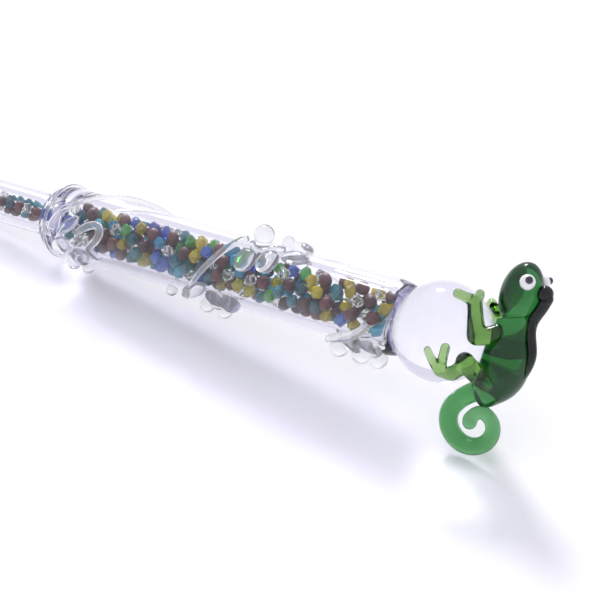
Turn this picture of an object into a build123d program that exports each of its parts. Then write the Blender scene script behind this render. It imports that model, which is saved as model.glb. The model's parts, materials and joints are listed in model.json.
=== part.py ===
from build123d import *
import os
from math import asin, cos, degrees, pi, radians, sin, sqrt

import numpy as np

# A lampworked glass dip pen, in millimetres.
# Every piece is made in the pen's own frame: the centre of the end ball is the origin, X runs along
# the pen towards the chameleon, Z is up through the chameleon's head, and -Y is the chameleon's right.
# lay_down() then puts the whole pen on the table, resting on its nib tip and on its curled tail.

BALL_R = 10.4

BARREL_R = 8.0              # 16 x 2.5 tubing
BORE_R = 5.5
BARREL_FRONT = -105.5
SHOULDER_R = 3.6            # rounding of the barrel's front edge
BARREL_BACK = -12.4         # from here the barrel narrows to its waist, where it meets the ball
WAIST_R = 6.6
THROAT_FRONT = BARREL_FRONT + 3.0   # between these two the bore widens from the grip's to the barrel's
THROAT_BACK = BARREL_FRONT + 7.0

GRIP_R = 5.0
GRIP_BORE_R = 2.7
GRIP_FRONT = -150.0
GRIP_NOSE_R = 2.2
GRIP_NOSE = 4.0             # length of the grip's rounded front end
GRIP_WALL_BACK = BARREL_FRONT - 1.5     # from here the grip narrows to its seat on the barrel
GRIP_SEAT_R = 4.5

NECK_R = 1.9
NIB_BACK = GRIP_FRONT - 4.0
NIB_TIP = -181.0
NIB_BELLY_R = 3.3
NIB_TIP_R = 0.35
NIB_SWELL = 0.22            # share of the nib's length where it is widest
FLUTES = 8
FLUTE_DEPTH = 0.13          # as a share of the nib's radius
NIB_TWIST = 150.0           # degrees, over the length of the nib

RING_R = 0.4
TOUCH = 0.08                # gap left between pieces that are fused in a line
LEAN = 29.3                 # degrees that the head leans towards the chameleon's left

BEAD_R = 1.42               # 3 mm crystal beads
BEAD_END_R = 0.5
BEAD_FACETS = 6
BEAD_COUNT = 330
BEAD_COLOURS = {"brown": 0.36, "teal": 0.16, "yellow": 0.12, "clear": 0.14, "aqua": 0.10, "blue": 0.06,
                "green": 0.06}
SMALL_BEAD_R = 1.2
SMALL_BEAD_COUNT = 62
SMALL_BEAD_COLOURS = {"brown": 0.4, "teal": 0.25, "clear": 0.2, "blue": 0.15}
BEAD_GAP = 0.04


# ---------- helpers ----------

def at(x, angle, radius=BARREL_R):
    """A point round the barrel: 0 degrees faces -Y, and 90 degrees is the top."""
    return Vector(x, -radius * cos(radians(angle)), radius * sin(radians(angle)))


def turned(edges):
    """The solid made by turning a closed outline of (x, radius) edges about the pen's axis."""
    return revolve(make_face(Plane.XZ * edges), Axis.X)


def tube(points, radii, sections=12):
    """A round rod along a smooth line through the points. Its radii are evenly spaced along it."""
    line = Spline(*[Vector(*p) for p in points])
    share = np.linspace(0, 1, len(radii))
    start = line % 0
    across = Vector(0, 0, 1) if abs(start.Z) < 0.8 else Vector(0, 1, 0)
    slices = []
    for u in np.linspace(0, 1, sections):
        along = line % u
        across = (across - along * along.dot(across)).normalized()
        plane = Plane(origin=line @ u, x_dir=across, z_dir=along)
        slices.append(plane * Circle(float(np.interp(u, share, radii))))
    return loft(slices)


def limb(points, radii, sections=12):
    """A tube with a ball on each end."""
    ends = Pos(*points[0]) * Sphere(radii[0]) + Pos(*points[-1]) * Sphere(radii[-1])
    return tube(points, radii, sections) + ends


def egg(centre, radius, half_height, tilt=0.0):
    """An egg that stands along Z, tilted about Y."""
    half = Ellipse(radius, half_height) & Pos(radius, 0) * Rectangle(2 * radius, 2 * half_height)
    return Pos(*centre) * Rot(0, tilt, 0) * revolve(Plane.XZ * half, Axis.Z)


def ring(x, radius, thickness):
    return Pos(x, 0, 0) * Rot(0, 90, 0) * Torus(radius, thickness)


def petal(x, angle, length, width, turn, thick, height=0.5):
    """A flat drop of glass on the barrel, turned this many degrees from the pen's axis."""
    drop = scale(Sphere(1.0), by=(length / 2, width / 2, thick))
    spot = Plane(origin=at(x, angle, BARREL_R + height), x_dir=(1, 0, 0), z_dir=at(0, angle))
    return spot.location * Rot(0, 0, turn) * drop


def berry(x, angle, radius):
    """A round blob of glass on the barrel, sunk a little into it."""
    return Pos(*at(x, angle, BARREL_R + 0.6 * radius)) * Sphere(radius)


def without(shape, *others):
    for other in others:
        shape = shape - other
    return shape


def mirrored(shape):
    return mirror(shape, about=Plane.XZ)


def solid_barrel():
    """The barrel with its bore filled, for cutting what is fused to its outside."""
    length = -BARREL_FRONT
    return Pos(-length / 2, 0, 0) * Rot(0, 90, 0) * Cylinder(BARREL_R, length)


# ---------- nib and grip ----------

def nib_radius(share):
    """The nib swells from its neck to a belly, then narrows to its tip."""
    if share < NIB_SWELL:
        return NECK_R + (NIB_BELLY_R - NECK_R) * sin(share / NIB_SWELL * pi / 2)
    rest = (share - NIB_SWELL) / (1 - NIB_SWELL)
    return NIB_TIP_R + (NIB_BELLY_R - NIB_TIP_R) * (1 - rest) ** 0.85


def nib_slice(share):
    radius = nib_radius(share)
    depth = FLUTE_DEPTH * min(1.0, 0.2 + 5 * share)
    points = []
    for i in range(4 * FLUTES):
        a = 2 * pi * i / (4 * FLUTES)
        r = radius * (1 + depth * cos(FLUTES * a))
        points.append((r * cos(a), r * sin(a)))
    turn = radians(NIB_TWIST * share)
    x = NIB_BACK + (NIB_TIP - NIB_BACK) * share
    plane = Plane(origin=(x, 0, 0), x_dir=(0, cos(turn), sin(turn)), z_dir=(-1, 0, 0))
    return plane * make_face(Spline(*points, periodic=True))


def make_nib():
    """Short twisted lengths, fused end to end."""
    slices = [nib_slice(share) for share in np.linspace(0, 1, 16)]
    lengths = [loft(pair) for pair in zip(slices, slices[1:])]
    return lengths[0].fuse(*lengths[1:])


def make_nib_neck():
    """The waist of clear glass between the grip and the nib."""
    edges = Line((NIB_BACK, 0), (GRIP_FRONT, 0)) + Line((GRIP_FRONT, 0), (GRIP_FRONT, GRIP_NOSE_R))
    edges += Spline((GRIP_FRONT, GRIP_NOSE_R), (GRIP_FRONT - 1.4, 2.7), (NIB_BACK, NECK_R * 0.85))
    edges += Line((NIB_BACK, NECK_R * 0.85), (NIB_BACK, 0))
    return turned(edges)


def make_grip_tube():
    bore_front = GRIP_FRONT + GRIP_NOSE
    edges = Line((GRIP_FRONT, 0), (GRIP_FRONT, GRIP_NOSE_R))
    edges += Spline((GRIP_FRONT, GRIP_NOSE_R), (GRIP_FRONT + GRIP_NOSE, GRIP_R), tangents=[(0.2, 1), (1, 0)])
    edges += Polyline((GRIP_FRONT + GRIP_NOSE, GRIP_R), (GRIP_WALL_BACK, GRIP_R), (BARREL_FRONT, GRIP_SEAT_R),
                      (BARREL_FRONT, GRIP_BORE_R), (bore_front, GRIP_BORE_R), (bore_front - 1.5, 0),
                      (GRIP_FRONT, 0))
    return turned(edges)


# ---------- barrel and ball ----------

def waist_x():
    """Where the barrel's waist meets the ball."""
    return -sqrt(BALL_R ** 2 - WAIST_R ** 2)


def make_barrel_tube(ball):
    """The wide tube. Its bore narrows to the grip's bore in front, and its back edge sits on the ball."""
    front = BARREL_FRONT
    waist = (waist_x(), WAIST_R)
    edges = Line((front, GRIP_BORE_R), (front, BARREL_R - SHOULDER_R))
    edges += RadiusArc((front, BARREL_R - SHOULDER_R), (front + SHOULDER_R, BARREL_R), SHOULDER_R)
    edges += Line((front + SHOULDER_R, BARREL_R), (BARREL_BACK, BARREL_R))
    edges += Spline((BARREL_BACK, BARREL_R), waist, tangents=[(1, 0), (1, -1)])
    edges += Polyline(waist, (0, WAIST_R), (0, BORE_R), (THROAT_BACK, BORE_R), (THROAT_FRONT, GRIP_BORE_R),
                      (front, GRIP_BORE_R))
    return without(turned(edges), ball)


def make_ball_seal(ball, barrel):
    """The fillet of melted glass in the groove between the barrel and the ball."""
    return without(ring(waist_x(), WAIST_R, 0.7), ball, barrel)


def make_shoulder_ring():
    """The thread of glass laid round the barrel's front shoulder."""
    return ring(BARREL_FRONT + SHOULDER_R + RING_R, BARREL_R + RING_R, RING_R)


# ---------- vines and leaves ----------

def vine(stations, sections=24):
    """A thread of glass that lies on the barrel through (x, angle, thread radius) stations."""
    points = [tuple(at(x, angle, BARREL_R + radius + TOUCH)) for x, angle, radius in stations]
    return tube(points, [radius for x, angle, radius in stations], sections)


def make_vines():
    """The wound threads, each with a hooked or curled end among its leaves."""
    return {
        "vine_front": vine([(-99.6, -14, 0.6), (-97.5, 15, 0.9), (-94, 42, 0.8), (-89.5, 68, 0.7), (-84, 92, 0.7),
                            (-78, 118, 0.6), (-73, 150, 0.4)]),
        "vine_hook": vine([(-91.0, -8, 0.7), (-88.4, 8, 0.95), (-85.2, 11, 0.95), (-84.9, -4, 0.95),
                           (-87.0, -20, 0.9), (-84.6, -38, 0.6)]),
        "vine_middle": vine([(-69, 215, 0.4), (-65, 255, 0.5), (-61, 300, 0.6), (-57.5, 335, 0.6),
                             (-54, 367, 0.65), (-51, 396, 0.75), (-48.6, 424, 0.8)]),
        "vine_stem": vine([(-46.6, 58, 0.7), (-44.0, 48, 0.8), (-41.4, 55, 0.75), (-38.6, 62, 0.6)], 12),
        "vine_rear": vine([(-33, 125, 0.4), (-28.5, 160, 0.5), (-24.5, 195, 0.6), (-20.5, 230, 0.6),
                           (-17.5, 262, 0.6)]),
        "vine_curl": vine([(-12.8, -12, 0.8), (-14.6, -26, 1.0), (-17.6, -38, 1.1), (-21.0, -48, 1.0),
                           (-23.6, -62, 0.7)], 14),
    }


# (x, angle, length, width, turn, thickness) of each petal in a cluster
LEAVES = {
    "a": [(-94.2, 2, 7.0, 2.6, 45, 1.1), (-96.4, -36, 6.8, 4.6, 35, 1.4), (-91.2, -47, 5.2, 4.8, 10, 1.8)],
    "b": [(-58.2, -44, 10.0, 3.4, 35, 1.3), (-52.6, -52, 5.4, 4.2, -60, 1.7), (-48.6, -50, 5.6, 4.4, 20, 1.9)],
    "c": [(-17.2, -58, 6.0, 4.0, 15, 1.8), (-12.6, -54, 5.2, 4.2, -10, 1.8)],
    "d": [(-45.6, 26, 5.6, 4.8, 75, 1.8), (-40.4, 33, 5.8, 4.8, 70, 1.8), (-35.0, 52, 6.6, 3.6, 10, 1.4),
          (-36.8, 86, 6.8, 3.8, -15, 1.5)],
}

# (x, angle, radius) of each berry in a cluster
BERRIES = {
    "a": [(-95.2, -72, 1.6), (-91.2, -75, 1.5)],
    "b": [(-65.2, -60, 1.3), (-56.6, -76, 1.7), (-52.0, -78, 1.8)],
    "c": [(-21.6, -75, 2.1), (-16.7, -82, 2.1), (-11.9, -76, 2.0)],
    "d": [(-46.4, 82, 2.3), (-41.6, 98, 1.5)],
}


def group(shapes):
    return Compound(children=[solid for shape in shapes for solid in shape.solids()])


def make_clusters(vines):
    """Leaves and berries, each cut away where it meets the barrel, a vine or a leaf of its cluster."""
    pieces = {}
    for letter, petals in LEAVES.items():
        fused = petal(*petals[0])
        for each in petals[1:]:
            fused = fused + petal(*each)
        leaves = group([without(fused, solid_barrel(), *vines)])
        berries = [without(berry(*spot), solid_barrel(), leaves, *vines) for spot in BERRIES[letter]]
        pieces[f"leaves_{letter}"] = leaves
        pieces[f"berries_{letter}"] = group(berries)
    return pieces


# ---------- beads ----------

def packed(count, radius, bore, front, back, seed):
    """Centres of beads shaken together in a round bore, no two of them closer than they can be."""
    rng = np.random.default_rng(seed)
    reach = bore - radius - BEAD_GAP
    apart = 2 * radius + BEAD_GAP
    turn = rng.uniform(0, 2 * pi, count)
    out = reach * np.sqrt(rng.uniform(0, 1, count))
    centres = np.column_stack([rng.uniform(front, back, count), out * np.cos(turn), out * np.sin(turn)])
    for _ in range(900):
        between = centres[:, None] - centres[None]
        distance = np.linalg.norm(between, axis=2) + 10 * apart * np.eye(count)
        push = np.clip(apart * 1.02 - distance, 0, None) / distance
        centres = centres + 0.45 * (between * push[:, :, None]).sum(axis=1)
        centres[:, 0] = np.clip(centres[:, 0], front, back)
        off_axis = np.maximum(np.hypot(centres[:, 1], centres[:, 2]), 1e-9)
        centres[:, 1:] *= np.minimum(1, reach / off_axis)[:, None]
    kept = []
    for centre in centres:
        if all(np.linalg.norm(centre - other) >= 2 * radius for other in kept):
            kept.append(centre)
    return kept, rng


def cut_bead(radius):
    """A bicone: two cut cones base to base, a little shorter than they are wide."""
    half = radius * 0.86
    slices = []
    for z, r in ((-half, BEAD_END_R), (0, radius), (half, BEAD_END_R)):
        slices.append(Pos(0, 0, z) * RegularPolygon(r, BEAD_FACETS))
    return loft(slices, ruled=True)


def make_beads(prefix, centres, radius, colours, rng):
    """One group of beads for each colour. The brown ones are round and the others are cut."""
    cut, turned_bead = cut_bead(radius), Sphere(radius)
    names = rng.choice(list(colours), size=len(centres), p=list(colours.values()))
    groups = {f"{prefix}_{name}": [] for name in colours}
    for centre, name in zip(centres, names):
        place = Pos(*centre) * Rot(*rng.uniform(0, 360, 3))
        groups[f"{prefix}_{name}"].append((place * (turned_bead if name == "brown" else cut)).solid())
    return {name: Compound(children=solids) for name, solids in groups.items()}


# ---------- chameleon ----------

TAIL_LINE = [(12.6, -8.4), (9.3, -10.2), (6.9, -12.3), (5.5, -14.8), (5.8, -17.5), (7.6, -19.6), (10.4, -20.6),
             (13.2, -20.1), (15.2, -18.3), (15.6, -15.9), (14.3, -14.0), (12.4, -13.4), (10.8, -14.4),
             (10.3, -16.0)]
TAIL_RADII = [2.2, 2.1, 2.0, 2.0, 1.95, 1.95, 1.95, 1.9, 1.8, 1.7, 1.55, 1.45, 1.4, 1.5]

BODY_LINE = [(14.6, 6.6), (14.9, 4.9), (14.9, 2.2), (15.1, -1.1), (14.7, -4.6), (13.3, -7.8), (10.9, -10.2)]
BODY_RADII = [3.4, 3.9, 4.7, 5.1, 4.8, 3.9, 2.4]

FAR_LEG_TURN = 14           # degrees that the left front leg lies lower on the ball

STRIP_LINE = [(20.6, 11.9), (19.6, 9.2), (18.6, 6.3), (19.0, 3.6), (19.9, 0.9), (19.3, -3.3), (16.8, -7.3),
              (13.4, -10.4)]
STRIP_RADII = [1.3, 1.25, 1.2, 1.15, 1.15, 1.1, 1.0, 0.8]


def flat_line(points):
    """Points (x, z) in the chameleon's plane of symmetry."""
    return [(x, 0, z) for x, z in points]


def make_head():
    return egg((14.9, 0, 11.7), 4.15, 6.4, 8)


def make_casque():
    """The crest behind the head: a slimmer egg that shows as a second ridge."""
    return egg((11.3, 0, 12.3), 3.6, 6.3, 10)


def make_right_eye():
    return Pos(17.3, -3.4, 14.4) * Sphere(1.6)


def make_right_pupil():
    return Pos(18.1, -4.55, 15.0) * Sphere(0.8)


def make_front_leg():
    upper = limb([(13.4, -3.3, 3.4), (11.7, -4.9, 2.2), (10.3, -5.6, 1.9)], [1.7, 1.8, 2.0], 6)
    lower = limb([(10.3, -5.6, 1.9), (9.5, -5.6, 4.2), (8.4, -4.9, 6.6), (7.5, -4.1, 8.0)],
                 [2.0, 1.75, 1.55, 1.55], 8)
    toes = limb([(7.5, -4.1, 8.0), (5.9, -4.8, 8.5), (4.3, -5.7, 8.9)], [1.5, 1.05, 1.0], 5)
    toes += limb([(7.5, -4.1, 8.0), (7.4, -2.8, 8.8), (7.0, -1.6, 9.5)], [1.5, 1.15, 1.0], 5)
    return upper + lower + toes


def make_hind_leg():
    thigh = limb([(14.0, -3.2, -6.6), (11.6, -4.9, -5.4), (9.4, -6.2, -3.6)], [2.1, 2.0, 1.9], 6)
    shin = limb([(9.4, -6.2, -3.6), (8.5, -6.3, -5.4), (7.3, -6.6, -6.6)], [1.9, 1.5, 1.45], 5)
    foot = limb([(7.3, -6.6, -6.6), (6.3, -7.3, -6.6), (5.3, -7.9, -6.4)], [1.45, 1.3, 1.35], 5)
    toes = limb([(5.3, -7.9, -6.4), (4.1, -9.5, -4.8), (3.0, -10.5, -2.9)], [1.35, 0.9, 0.75], 6)
    toes += limb([(5.3, -7.9, -6.4), (6.0, -9.2, -3.9), (6.2, -9.5, -1.6)], [1.35, 1.0, 0.95], 6)
    return thigh + shin + foot + toes


def make_chameleon(ball):
    body = without(tube(flat_line(BODY_LINE), BODY_RADII, 10), ball)
    head = without(make_head(), body)
    casque = without(make_casque(), head, body)
    tail = without(limb(flat_line(TAIL_LINE), TAIL_RADII, 28), body)
    snout = without(Pos(19.9, 0, 12.7) * Sphere(1.75), head)
    strip = without(limb(flat_line(STRIP_LINE), STRIP_RADII, 14), head, body, snout, tail)
    front_leg = without(make_front_leg(), ball, body, head, casque)
    hind_leg = without(make_hind_leg(), ball, body, tail)
    far_hind_leg = mirrored(hind_leg)
    far_front_leg = Rot(0, FAR_LEG_TURN, 0) * mirrored(make_front_leg())
    far_front_leg = without(far_front_leg, ball, body, head, casque, far_hind_leg)
    eye = without(make_right_eye(), head)
    pupil = without(make_right_pupil(), eye, head)
    return {
        "chameleon_body": body, "chameleon_head": head, "chameleon_casque": casque,
        "chameleon_snout": snout, "chameleon_back_strip": strip, "chameleon_tail": tail,
        "front_leg_right": front_leg, "front_leg_left": far_front_leg,
        "hind_leg_right": hind_leg, "hind_leg_left": far_hind_leg,
        "eye_right": eye, "eye_left": mirrored(eye),
        "pupil_right": pupil, "pupil_left": mirrored(pupil),
    }


# ---------- the whole pen ----------

def make_pen():
    ball = Sphere(BALL_R)
    barrel = make_barrel_tube(ball)
    pieces = {
        "nib": make_nib(),
        "nib_neck": make_nib_neck(),
        "grip_tube": make_grip_tube(),
        "barrel_tube": barrel,
        "shoulder_ring": make_shoulder_ring(),
        "end_ball": ball,
        "ball_seal": make_ball_seal(ball, barrel),
    }
    vines = make_vines()
    pieces.update(vines)
    pieces.update(make_clusters(vines.values()))
    centres, rng = packed(BEAD_COUNT, BEAD_R, BORE_R, THROAT_BACK + BEAD_R, -BALL_R - BEAD_R - 0.1, 7)
    pieces.update(make_beads("beads", centres, BEAD_R, BEAD_COLOURS, rng))
    centres, rng = packed(SMALL_BEAD_COUNT, SMALL_BEAD_R, GRIP_BORE_R, GRIP_FRONT + GRIP_NOSE + SMALL_BEAD_R,
                          THROAT_FRONT - 0.3, 11)
    pieces.update(make_beads("grip_beads", centres, SMALL_BEAD_R, SMALL_BEAD_COLOURS, rng))
    pieces.update(make_chameleon(ball))
    return pieces


def lay_down(pieces):
    """Leans and pitches the pen so that its nib tip and its tail both touch the table."""
    tail_x, tail_z = min(TAIL_LINE, key=lambda point: point[1])
    tail_drop = -tail_z * cos(radians(LEAN)) + TAIL_RADII[TAIL_LINE.index((tail_x, tail_z))]
    pitch = degrees(asin((tail_drop - NIB_TIP_R) / (tail_x - NIB_TIP)))
    pose = Rot(0, -pitch, 0) * Rot(-LEAN, 0, 0)
    laid = {name: pose * shape for name, shape in pieces.items()}
    box = Compound(children=[solid for shape in laid.values() for solid in shape.solids()]).bounding_box()
    move = Pos(-box.center().X, -box.center().Y, -box.min.Z)
    print("pitch", round(pitch, 3), "ball centre", (move * pose * Pos(0, 0, 0)).position, "size", box.size)
    return {name: move * shape for name, shape in laid.items()}


os.makedirs("parts", exist_ok=True)
for name, shape in lay_down(make_pen()).items():
    export_step(shape, f"parts/{name}.step")
    print(name, len(shape.solids()), round(sum(solid.volume for solid in shape.solids()), 2))
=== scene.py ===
import json
from math import asin, cos, degrees, pi, radians, sin, sqrt

import bmesh
import bpy
import numpy as np
from mathutils import Matrix, Vector


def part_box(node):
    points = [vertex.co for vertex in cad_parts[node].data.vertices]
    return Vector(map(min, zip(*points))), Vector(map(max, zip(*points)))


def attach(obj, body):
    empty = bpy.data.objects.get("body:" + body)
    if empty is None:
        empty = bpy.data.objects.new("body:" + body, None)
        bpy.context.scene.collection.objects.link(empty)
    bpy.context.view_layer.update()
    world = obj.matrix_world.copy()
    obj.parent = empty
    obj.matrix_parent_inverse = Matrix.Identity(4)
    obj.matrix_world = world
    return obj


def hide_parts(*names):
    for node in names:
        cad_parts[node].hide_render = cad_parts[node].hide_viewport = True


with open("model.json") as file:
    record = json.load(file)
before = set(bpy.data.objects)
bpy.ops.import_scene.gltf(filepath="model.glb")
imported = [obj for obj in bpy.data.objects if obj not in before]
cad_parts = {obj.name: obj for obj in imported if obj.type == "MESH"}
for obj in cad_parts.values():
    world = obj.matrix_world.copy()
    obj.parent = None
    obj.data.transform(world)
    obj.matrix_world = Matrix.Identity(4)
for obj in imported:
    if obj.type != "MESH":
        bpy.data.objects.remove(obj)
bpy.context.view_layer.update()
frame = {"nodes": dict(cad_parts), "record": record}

# A lampworked glass dip pen. Shapes that turn about the pen's axis are made here in the pen's own
# frame, in millimetres; the hand-formed glass starts from the solids of the CAD part.

MM = 0.001
VOXEL = 0.14 * MM               # how finely melted glass is meshed
NIB_VOXEL = 0.12 * MM
EYE_VOXEL = 0.08 * MM
PUPIL_VOXEL = 0.05 * MM
BARREL_R = 8.0
BORE_R = 5.5
BARREL_FRONT = -105.5
SHOULDER_R = 3.6
GRIP_R = 5.0
GRIP_BORE_R = 2.7
GRIP_FRONT = -150.0
GRIP_NOSE_R = 2.2
GRIP_NOSE = 4.0
GRIP_WALL_BACK = BARREL_FRONT - 1.5
GRIP_SEAT_R = 4.5
THROAT_FRONT = BARREL_FRONT + 3.0
THROAT_BACK = BARREL_FRONT + 7.0
BARREL_BACK = -12.4
WAIST_R = 6.6
GLASS_IOR = 1.47
GREEN_GLASS_IOR = 1.48
CLEAR_SHADOW = (0.88, 0.87, 0.94)
GREEN_SHADOW = (0.46, 0.5, 0.52)
PAINTED_SHADE_LAVENDER = (0.05, 0.0, 0.5)     # painted shade: the lavender of the shadowed floor seen through thick clear glass, put into the glass as a tint
BEAD_IOR = 1.56
LIGHT_BOUNCES = 24              # light crosses many layers of glass here
BARREL_BEAD_SEED = 40
GRIP_BEAD_SEED = 60


# ---------- the pen's frame ----------

def centre(node):
    low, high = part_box(node)
    return (low + high) / 2


def pen_frame():
    """The pen's own frame: the ball's centre, X along the pen and Y from the right eye to the left."""
    mount = [m for m in frame["record"]["mounts"] if m["name"] == "grip"][0]
    along = -Vector(mount["axis"]).normalized()
    side = centre("eye_left") - centre("eye_right")
    side = (side - along * side.dot(along)).normalized()
    up = along.cross(side)
    turn = Matrix((along, side, up)).transposed().to_4x4()
    return Matrix.Translation(centre("end_ball")) @ turn @ Matrix.Scale(MM, 4)


PEN = pen_frame()


# ---------- meshes ----------

def add_mesh(name, verts, faces, smooth=True):
    mesh = bpy.data.meshes.new(name)
    mesh.from_pydata([tuple(v) for v in verts], [], faces)
    mesh.validate()
    mesh.update()
    for polygon in mesh.polygons:
        polygon.use_smooth = smooth
    obj = bpy.data.objects.new(name, mesh)
    bpy.context.scene.collection.objects.link(obj)
    return obj


def turned(outline, segments, first):
    """Verts and faces of an (x, radius) outline turned about the pen's axis, numbered from first."""
    verts, rings = [], []
    for x, r in outline:
        steps = segments if r > 1e-6 else 1
        rings.append(list(range(first + len(verts), first + len(verts) + steps)))
        for i in range(steps):
            a = 2 * pi * i / steps
            verts.append(PEN @ Vector((x, r * cos(a), r * sin(a))))
    faces = []
    for one, two in zip(rings, rings[1:]):
        for i in range(segments):
            j = (i + 1) % segments
            if len(one) == 1:
                faces.append((one[0], two[j], two[i]))
            elif len(two) == 1:
                faces.append((one[i], one[j], two[0]))
            else:
                faces.append((one[i], one[j], two[j], two[i]))
    return verts, faces


def hollow_lathe(name, outside, cavity, segments=144):
    """A turned body round a turned cavity. Both outlines run from pole to pole, towards +X."""
    verts, faces = turned(outside, segments, 0)
    more_verts, more_faces = turned(cavity, segments, len(verts))
    faces += [tuple(reversed(face)) for face in more_faces]
    return add_mesh(name, verts + more_verts, faces)


def face_out(obj):
    work = bmesh.new()
    work.from_mesh(obj.data)
    bmesh.ops.recalc_face_normals(work, faces=work.faces)
    work.to_mesh(obj.data)
    work.free()


def arc(cx, cr, radius, start, end, steps):
    """Points (x, radius) on an arc, in degrees from the pen's axis."""
    points = []
    for i in range(steps + 1):
        a = radians(start + (end - start) * i / steps)
        points.append((cx + radius * cos(a), max(0.0, cr + radius * sin(a))))
    return points


def line(start, end, steps):
    return [(start[0] + (end[0] - start[0]) * i / steps, start[1] + (end[1] - start[1]) * i / steps)
            for i in range(1, steps + 1)]


def applied(obj):
    """obj with its modifiers made real."""
    graph = bpy.context.evaluated_depsgraph_get()
    mesh = bpy.data.meshes.new_from_object(obj.evaluated_get(graph))
    obj.modifiers.clear()
    obj.data = mesh
    for polygon in mesh.polygons:
        polygon.use_smooth = True
    return obj


def melted(name, nodes, voxel=VOXEL, smooth=8, factor=0.6):
    """The CAD solids of these nodes as one smooth piece of glass, with soft edges."""
    work = bmesh.new()
    for node in nodes:
        work.from_mesh(frame["nodes"][node].data)
    mesh = bpy.data.meshes.new(name)
    work.to_mesh(mesh)
    work.free()
    obj = bpy.data.objects.new(name, mesh)
    bpy.context.scene.collection.objects.link(obj)
    remesh = obj.modifiers.new("remesh", "REMESH")
    remesh.mode = "VOXEL"
    remesh.voxel_size = voxel
    relax = obj.modifiers.new("relax", "SMOOTH")
    relax.factor = factor
    relax.iterations = smooth
    return applied(obj)


def place(obj, slot, *nodes):
    """Every visible piece rides on the pen and stands for its CAD nodes."""
    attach(obj, "root")
    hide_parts(*nodes)
    return obj


# ---------- materials ----------

def new_material(name):
    material = bpy.data.materials.new(name)
    material.use_nodes = True
    nodes = material.node_tree.nodes
    nodes.clear()
    out = nodes.new("ShaderNodeOutputMaterial")
    return material, material.node_tree, out


def noise_bump(tree, scale, strength, distance=0.0002):
    """A faint unevenness of hand-worked glass."""
    coords = tree.nodes.new("ShaderNodeTexCoord")
    noise = tree.nodes.new("ShaderNodeTexNoise")
    noise.inputs["Scale"].default_value = scale
    noise.inputs["Detail"].default_value = 2.0
    bump = tree.nodes.new("ShaderNodeBump")
    bump.inputs["Strength"].default_value = strength
    bump.inputs["Distance"].default_value = distance
    tree.links.new(coords.outputs["Object"], noise.inputs["Vector"])
    tree.links.new(noise.outputs["Fac"], bump.inputs["Height"])
    return bump


def see_through_shadow(tree, shader, tint, out):
    """Light passes the glass towards what is behind it, tinted, so that shadows stay soft and pale."""
    clear = tree.nodes.new("ShaderNodeBsdfTransparent")
    clear.inputs["Color"].default_value = (*tint, 1)
    path = tree.nodes.new("ShaderNodeLightPath")
    mix = tree.nodes.new("ShaderNodeMixShader")
    tree.links.new(path.outputs["Is Shadow Ray"], mix.inputs["Fac"])
    tree.links.new(shader.outputs[0], mix.inputs[1])
    tree.links.new(clear.outputs[0], mix.inputs[2])
    tree.links.new(mix.outputs[0], out.inputs["Surface"])


def absorb_light(tree, color, density, out):
    absorb = tree.nodes.new("ShaderNodeVolumeAbsorption")
    absorb.inputs["Color"].default_value = (*color, 1)
    absorb.inputs["Density"].default_value = density
    tree.links.new(absorb.outputs[0], out.inputs["Volume"])


def principled(tree, color, roughness, **values):
    shader = tree.nodes.new("ShaderNodeBsdfPrincipled")
    shader.inputs["Base Color"].default_value = (*color, 1)
    shader.inputs["Roughness"].default_value = roughness
    for name, value in values.items():
        shader.inputs[name.replace("_", " ")].default_value = value
    return shader


def clear_glass(name, tint=(0.985, 0.99, 1.0), bump=0.05, milk=0.0, ior=GLASS_IOR, painted_shade_density=0.0):
    """Clear glass. Milk (0 to 1) lightens worked threads, and a lavender tint that deepens with thickness
    paints in the shade seen through thick glass.
    """
    material, tree, out = new_material(name)
    shader = principled(tree, tint, 0.0, Transmission_Weight=1.0, IOR=ior)
    tree.links.new(noise_bump(tree, 300.0, bump).outputs[0], shader.inputs["Normal"])
    last = shader
    if milk:
        milky = principled(tree, (0.86, 0.88, 0.88), 0.15)
        last = tree.nodes.new("ShaderNodeMixShader")
        last.inputs["Fac"].default_value = milk
        tree.links.new(shader.outputs[0], last.inputs[1])
        tree.links.new(milky.outputs[0], last.inputs[2])
    see_through_shadow(tree, last, CLEAR_SHADOW, out)
    # painted shade: a lavender absorption stands in for the lavender shadow seen through the glass
    if painted_shade_density:
        absorb_light(tree, PAINTED_SHADE_LAVENDER, painted_shade_density, out)
    return material


def green_glass(name, color, density, roughness=0.02, haze=0.0, haze_color=(0.1, 0.4, 0.15)):
    """Coloured glass: the deeper the light goes, the darker and greener it gets."""
    material, tree, out = new_material(name)
    shader = principled(tree, (1, 1, 1), roughness, Transmission_Weight=1.0, IOR=GREEN_GLASS_IOR)
    tree.links.new(noise_bump(tree, 250.0, 0.15).outputs[0], shader.inputs["Normal"])
    last = shader
    if haze:
        cloudy = principled(tree, haze_color, 0.25)
        mix = tree.nodes.new("ShaderNodeMixShader")
        mix.inputs["Fac"].default_value = haze
        tree.links.new(shader.outputs[0], mix.inputs[1])
        tree.links.new(cloudy.outputs[0], mix.inputs[2])
        last = mix
    see_through_shadow(tree, last, GREEN_SHADOW, out)
    absorb_light(tree, color, density, out)
    return material


def bead_material(name, dark, light, transmission, roughness, coat):
    """A bead's colour differs a little from bead to bead."""
    material, tree, out = new_material(name)
    shader = principled(tree, light, roughness, Transmission_Weight=transmission, IOR=BEAD_IOR,
                        Coat_Weight=coat)
    info = tree.nodes.new("ShaderNodeNewGeometry")
    ramp = tree.nodes.new("ShaderNodeValToRGB")
    ramp.color_ramp.elements[0].color = (*dark, 1)
    ramp.color_ramp.elements[1].color = (*light, 1)
    tree.links.new(info.outputs["Random Per Island"], ramp.inputs["Fac"])
    tree.links.new(ramp.outputs["Color"], shader.inputs["Base Color"])
    see_through_shadow(tree, shader, [0.3 + 0.3 * transmission * c for c in light], out)
    return material


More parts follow.
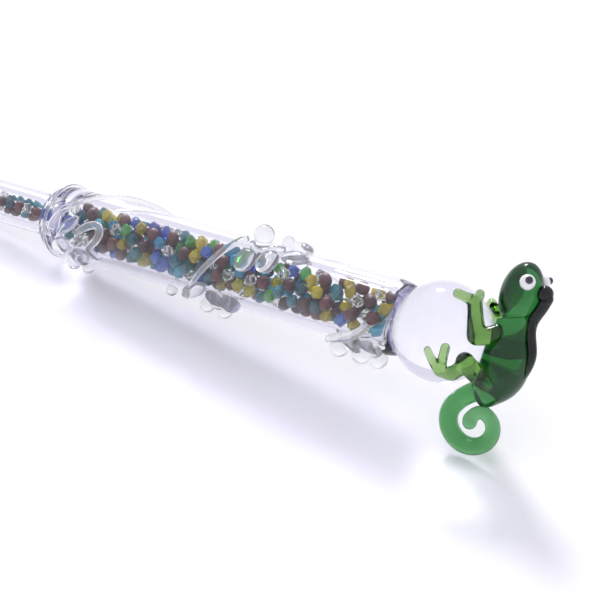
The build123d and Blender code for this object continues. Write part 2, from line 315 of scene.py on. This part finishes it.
def solid_material(name, color, roughness, coat):
    material, tree, out = new_material(name)
    shader = principled(tree, color, roughness, Coat_Weight=coat, Coat_Roughness=0.03)
    tree.links.new(noise_bump(tree, 600.0, 0.05).outputs[0], shader.inputs["Normal"])
    tree.links.new(shader.outputs[0], out.inputs["Surface"])
    return material


def paint(obj, material):
    obj.data.materials.clear()
    obj.data.materials.append(material)
    return obj


# ---------- tubes, ball and nib ----------

def curve(start, end, bulge, steps):
    """A quarter turn from start to end that leaves start along the axis (bulge 1) or across it (0)."""
    points = []
    for i in range(1, steps + 1):
        a = pi / 2 * i / steps
        along, across = (sin(a), 1 - cos(a)) if bulge else (1 - cos(a), sin(a))
        points.append((start[0] + (end[0] - start[0]) * along, start[1] + (end[1] - start[1]) * across))
    return points


def make_tubes_and_ball(material):
    """Grip, barrel and ball are fused, so their clear glass is one body round one long bore."""
    ball_r = (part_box("end_ball")[1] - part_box("end_ball")[0]).x / 2 / MM
    waist = (-sqrt(ball_r ** 2 - WAIST_R ** 2), WAIST_R)
    waist_turn = 180 - degrees(asin(WAIST_R / ball_r))
    bore_turn = 180 - degrees(asin(BORE_R / ball_r))
    grip_nose = (GRIP_FRONT + GRIP_NOSE, GRIP_R)
    shoulder = (BARREL_FRONT + SHOULDER_R, BARREL_R)
    outside = [(GRIP_FRONT, 0), (GRIP_FRONT, GRIP_NOSE_R)]
    outside += curve((GRIP_FRONT, GRIP_NOSE_R), grip_nose, 0, 12)
    outside += line(grip_nose, (GRIP_WALL_BACK, GRIP_R), 24)
    outside += line((GRIP_WALL_BACK, GRIP_R), (BARREL_FRONT, GRIP_SEAT_R), 4)
    outside += arc(shoulder[0], BARREL_R - SHOULDER_R, SHOULDER_R, 178, 90, 16)
    outside += line(shoulder, (BARREL_BACK, BARREL_R), 40)
    outside += curve((BARREL_BACK, BARREL_R), waist, 1, 12)
    outside += arc(0, 0, ball_r, waist_turn - 2, 0, 90)
    bore_front = (GRIP_FRONT + GRIP_NOSE, GRIP_BORE_R)
    cavity = [(bore_front[0] - 1.5, 0)]
    cavity += curve(cavity[0], bore_front, 0, 8)
    cavity += line(bore_front, (THROAT_FRONT, GRIP_BORE_R), 24)
    cavity += line((THROAT_FRONT, GRIP_BORE_R), (THROAT_BACK, BORE_R), 8)
    cavity += line((THROAT_BACK, BORE_R), (ball_r * cos(radians(bore_turn)), BORE_R), 40)
    cavity += arc(0, 0, ball_r, bore_turn, 180, 16)
    body = hollow_lathe("tubes_and_ball_glass", outside, cavity)
    return place(paint(body, material), "clear_glass", "grip_tube", "barrel_tube", "end_ball", "ball_seal")


# ---------- beads ----------

def islands(node):
    """Centre and size of each separate solid in a CAD node."""
    work = bmesh.new()
    work.from_mesh(frame["nodes"][node].data)
    bmesh.ops.remove_doubles(work, verts=work.verts, dist=1e-6)
    work.verts.index_update()
    left = set(work.verts)
    found = []
    while left:
        stack = [min(left, key=lambda v: v.index)]
        left.discard(stack[0])
        points = []
        while stack:
            vert = stack.pop()
            points.append(vert.co.copy())
            for edge in vert.link_edges:
                other = edge.other_vert(vert)
                if other in left:
                    left.discard(other)
                    stack.append(other)
        co = np.array(points)
        mid = (co.min(0) + co.max(0)) / 2
        found.append((Vector(mid), float(np.linalg.norm(co - mid, axis=1).max())))
    work.free()
    return sorted(found, key=lambda item: tuple(item[0]))


def cut_bead(radius, rng, facets=8):
    """A bicone bead with a fine hole through it, turned at random."""
    half, end, hole = radius * 0.86, radius * 0.42, radius * 0.16
    rings = [(half, hole), (half, end), (0.06 * radius, radius), (-0.06 * radius, radius), (-half, end),
             (-half, hole)]
    turn = Matrix.Rotation(rng.uniform(0, 2 * pi), 3, "Z") @ Matrix.Rotation(rng.uniform(0, pi), 3, "X")
    turn = turn @ Matrix.Rotation(rng.uniform(0, 2 * pi), 3, "Z")
    verts, faces = [], []
    for z, r in rings:
        for i in range(facets):
            a = 2 * pi * i / facets
            verts.append(turn @ Vector((r * cos(a), r * sin(a), z)))
    count = len(rings)
    for k in range(count):
        for i in range(facets):
            j = (i + 1) % facets
            n = (k + 1) % count
            faces.append((k * facets + i, n * facets + i, n * facets + j, k * facets + j))
    return verts, faces


def round_bead(radius, rng, around=20, rows=12):
    verts, faces = [], []
    turn = Matrix.Rotation(rng.uniform(0, 2 * pi), 3, "X") @ Matrix.Rotation(rng.uniform(0, 2 * pi), 3, "Y")
    hole = 0.2
    for k in range(rows + 1):
        t = hole + (pi - 2 * hole) * k / rows
        for i in range(around):
            a = 2 * pi * i / around
            verts.append(turn @ Vector((sin(t) * cos(a), sin(t) * sin(a), 0.94 * cos(t))) * radius)
    for k in range(rows + 1):
        n = (k + 1) % (rows + 1)
        for i in range(around):
            j = (i + 1) % around
            faces.append((k * around + i, n * around + i, n * around + j, k * around + j))
    return verts, faces


def make_beads(node, material, slot, seed):
    rng = np.random.default_rng(seed)
    verts, faces = [], []
    is_round = node.endswith("brown")
    for middle, radius in islands(node):
        shape = round_bead if is_round else cut_bead
        v, f = shape(radius, rng)
        base = len(verts)
        verts += [middle + p for p in v]
        faces += [tuple(base + i for i in face) for face in f]
    obj = add_mesh(node + "_glass", verts, faces, smooth=is_round)
    face_out(obj)
    return place(paint(obj, material), slot, node)


# ---------- camera, floor and light ----------

CAMERA_LENS = 105.2
CAMERA_AZIMUTH = 35.24          # degrees from -Y towards +X
CAMERA_ELEVATION = 34.75
CAMERA_DISTANCE = 0.353
CAMERA_AIM = (-25.51, -13.85, 5.36)     # millimetres from the ball's centre
FLOOR_HALF_WIDTH = 3.0
SUN_ELEVATION = 38
SUN_SIDE = (-0.62, 0.78, 0)     # where the light comes from, seen from above


def add_camera():
    camera = bpy.data.cameras.new("camera")
    camera.lens = CAMERA_LENS
    camera.clip_start = 0.01
    obj = bpy.data.objects.new("camera", camera)
    bpy.context.scene.collection.objects.link(obj)
    azimuth, elevation = radians(CAMERA_AZIMUTH), radians(CAMERA_ELEVATION)
    back = Vector((sin(azimuth) * cos(elevation), -cos(azimuth) * cos(elevation), sin(elevation)))
    aim = centre("end_ball") + Vector(CAMERA_AIM) * MM
    obj.location = aim + back * CAMERA_DISTANCE
    obj.rotation_euler = back.to_track_quat("Z", "Y").to_euler()
    bpy.context.scene.camera = obj


def add_floor():
    size = FLOOR_HALF_WIDTH
    corners = [(-size, -size, 0), (size, -size, 0), (size, size, 0), (-size, size, 0)]
    floor = add_mesh("floor", corners, [(0, 1, 2, 3)])
    material, tree, out = new_material("floor")
    shader = principled(tree, (0.95, 0.95, 0.95), 0.7)
    tree.links.new(shader.outputs[0], out.inputs["Surface"])
    paint(floor, material)


def add_lights():
    world = bpy.data.worlds.new("world")
    bpy.context.scene.world = world
    world.use_nodes = True
    background = world.node_tree.nodes["Background"]
    background.inputs["Color"].default_value = (0.90, 0.88, 1.0, 1)
    background.inputs["Strength"].default_value = 0.9
    sun = bpy.data.lights.new("key", "SUN")
    sun.energy = 1.7
    sun.angle = radians(12)
    sun.color = (1.0, 1.0, 0.98)
    key = bpy.data.objects.new("key", sun)
    bpy.context.scene.collection.objects.link(key)
    height = radians(SUN_ELEVATION)
    towards = Vector(SUN_SIDE).normalized() * cos(height) + Vector((0, 0, sin(height)))
    key.rotation_euler = towards.to_track_quat("Z", "Y").to_euler()


# ---------- the pen ----------

# painted shade: the lavender seen through the tubes, ball and nib is put into their glass as an absorption
clear = clear_glass("clear_glass", painted_shade_density=6.0)
worked = clear_glass("worked_clear_glass", tint=(0.97, 0.98, 0.97), bump=0.3, milk=0.12, ior=1.43)
make_tubes_and_ball(clear)
for name in ("nib_neck", "nib"):
    place(paint(melted(name + "_glass", [name], NIB_VOXEL, 4), clear), "clear_glass", name)
THREADS = ("shoulder_ring", "vine_front", "vine_hook", "vine_middle", "vine_stem", "vine_rear", "vine_curl")
for name in THREADS:
    place(paint(melted(name + "_glass", [name]), worked), "clear_glass", name)
for letter in "abcd":
    for kind in ("leaves", "berries"):
        name = f"{kind}_{letter}"
        place(paint(melted(name + "_glass", [name]), worked), "clear_glass", name)

# dark and light end of the colour, transmission, roughness and coat of each kind of bead
BEADS = {
    "brown": ((0.045, 0.008, 0.007), (0.16, 0.036, 0.030), 0.0, 0.45, 0.1),
    "teal": ((0.003, 0.16, 0.22), (0.03, 0.46, 0.52), 0.7, 0.03, 0.0),
    "yellow": ((0.62, 0.50, 0.001), (1.0, 0.88, 0.004), 0.6, 0.03, 0.0),
    "clear": ((0.78, 0.80, 0.74), (0.97, 0.98, 0.94), 0.97, 0.0, 0.0),
    "aqua": ((0.02, 0.46, 0.70), (0.12, 0.80, 0.98), 0.6, 0.03, 0.0),
    "blue": ((0.04, 0.12, 0.70), (0.16, 0.40, 1.0), 0.6, 0.03, 0.0),
    "green": ((0.02, 0.40, 0.03), (0.20, 0.85, 0.18), 0.6, 0.03, 0.0),
}
for index, (colour, (dark, light, transmission, roughness, coat)) in enumerate(BEADS.items()):
    material = bead_material("bead_" + colour, dark, light, transmission, roughness, coat)
    make_beads("beads_" + colour, material, "bead_" + colour, BARREL_BEAD_SEED + index)
    if "grip_beads_" + colour in frame["nodes"]:
        make_beads("grip_beads_" + colour, material, "bead_" + colour, GRIP_BEAD_SEED + index)

body_glass = green_glass("green_glass", (0.22, 0.70, 0.31), 560.0, haze=0.3,
                         haze_color=(0.003, 0.12, 0.015))
strip_glass = green_glass("blackish_green_glass", (0.15, 0.38, 0.2), 3600.0)
leg_glass = green_glass("light_green_glass", (0.38, 0.66, 0.06), 820.0)
tail_glass = green_glass("satin_green_glass", (0.2, 0.68, 0.26), 700.0, roughness=0.05, haze=0.2,
                         haze_color=(0.02, 0.28, 0.04))
# the CAD nodes in each melted piece, its glass and its slot
CHAMELEON = {
    "trunk": (("chameleon_body", "chameleon_head"), body_glass, "green_glass"),
    "casque": (("chameleon_casque",), body_glass, "green_glass"),
    "snout": (("chameleon_snout",), strip_glass, "blackish_green_glass"),
    "back_strip": (("chameleon_back_strip",), strip_glass, "blackish_green_glass"),
    "tail": (("chameleon_tail",), tail_glass, "satin_green_glass"),
}
for name in ("front_leg_right", "front_leg_left", "hind_leg_right", "hind_leg_left"):
    CHAMELEON[name] = ((name,), leg_glass, "light_green_glass")
for name, (cad_nodes, material, slot) in CHAMELEON.items():
    place(paint(melted(name + "_glass", cad_nodes), material), slot, *cad_nodes)
white = solid_material("white_glass", (0.86, 0.86, 0.84), 0.2, 0.8)
black = solid_material("black_glass", (0.008, 0.008, 0.008), 0.15, 0.8)
for side in ("right", "left"):
    eye, pupil = f"eye_{side}", f"pupil_{side}"
    place(paint(melted(eye + "_glass", [eye], EYE_VOXEL), white), "white_glass", eye)
    place(paint(melted(pupil + "_glass", [pupil], PUPIL_VOXEL), black), "black_glass", pupil)

add_camera()
add_floor()
add_lights()
bpy.context.scene.view_settings.view_transform = "Standard"
for kind in ("max_bounces", "transmission_bounces", "glossy_bounces", "transparent_max_bounces"):
    setattr(bpy.context.scene.cycles, kind, LIGHT_BOUNCES)
